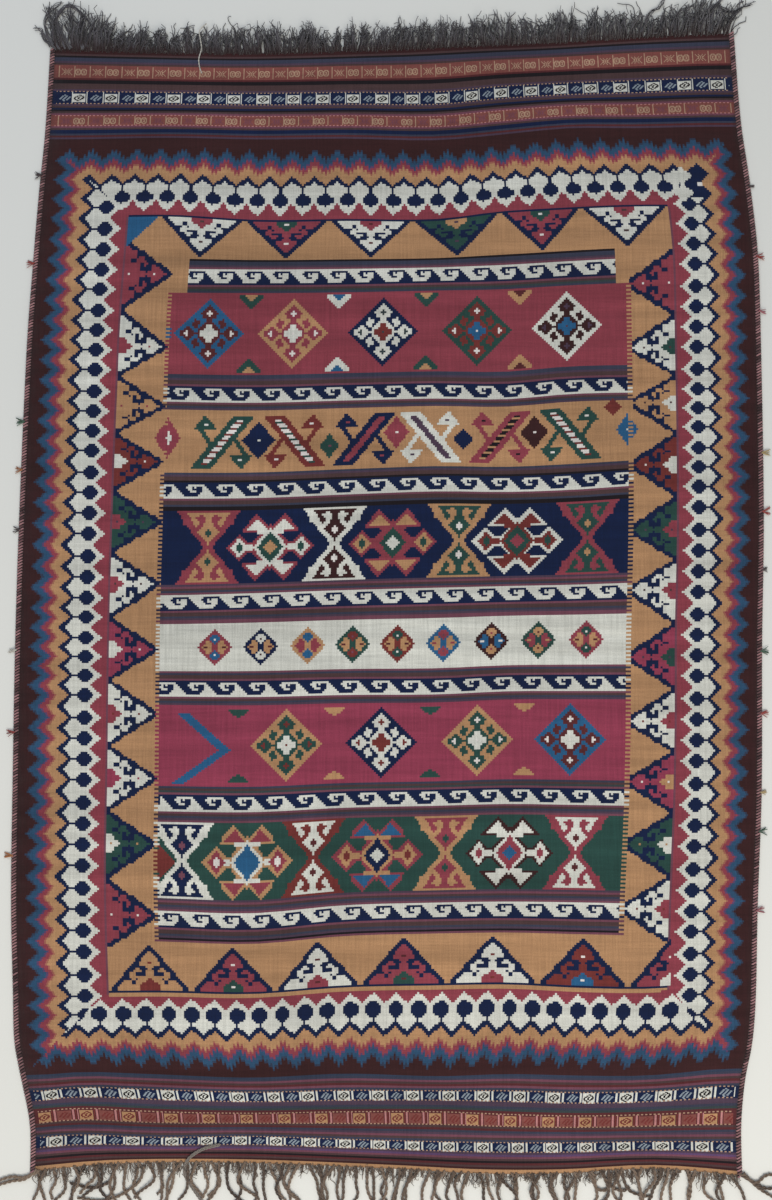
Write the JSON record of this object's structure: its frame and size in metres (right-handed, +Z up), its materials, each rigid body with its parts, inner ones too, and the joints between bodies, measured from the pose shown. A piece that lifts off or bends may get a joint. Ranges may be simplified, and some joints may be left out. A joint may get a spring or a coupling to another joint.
{
  "type": "kilim",
  "caption": "Flat-woven wool kilim with banded field, stepped zigzag border, striped skirts, overcast side cords and fringed ends, lying flat.",
  "frame": {"origin": "on the floor, under the middle of the kilim's bounding box, fringes included", "axes": "+Z up from the floor through the cloth's face, +Y along the warps towards the dark shaggy fringe, +X across the kilim"},
  "size_m": [1.6798, 2.7174, 0.0085],
  "materials": {
    "ground_wool": "ribbed slit-tapestry weave of dyed wool, matt with a faint lanolin sheen",
    "side_cord_wool": "rose and dark brown wool overcast round bundled warps, matt",
    "grey_warp_wool": "cut dark grey-brown wool warps, shaggy, matt",
    "brown_warp_wool": "loosely plaited brown wool warps, matt",
    "pale_warp_wool": "pale grey plaited wool, matt",
    "dark_wool": "dark wool yarn end, matt",
    "red_wool": "madder red wool yarn end, matt",
    "rose_wool": "rose wool yarn end, matt",
    "green_wool": "dark green wool yarn end, matt",
    "orange_wool": "orange-brown wool yarn end, matt",
    "straw_wool": "straw-coloured wool yarn end, matt",
    "pale_wool": "undyed pale wool yarn end, matt"
  },
  "bodies": {
    "root": {"ground": "ground_wool", "side_cord_left": "side_cord_wool", "side_cord_right": "side_cord_wool", "fringe_top": "grey_warp_wool", "fringe_bottom": "brown_warp_wool", "loose_plait": "pale_warp_wool", "tuft_left_1": "dark_wool", "tuft_left_2": "red_wool", "tuft_left_3": "green_wool", "tuft_left_4": "orange_wool", "tuft_left_5": "dark_wool", "tuft_left_6": "pale_wool", "tuft_left_7": "red_wool", "tuft_left_8": "orange_wool", "tuft_right_1": "dark_wool", "tuft_right_2": "red_wool", "tuft_right_3": "rose_wool", "tuft_right_4": "straw_wool", "tuft_right_5": "red_wool", "tuft_right_6": "dark_wool", "tuft_right_7": "green_wool", "tuft_right_8": "red_wool", "tuft_right_9": "straw_wool", "tuft_right_10": "green_wool", "tuft_right_11": "rose_wool"}
  },
  "joints": []
}
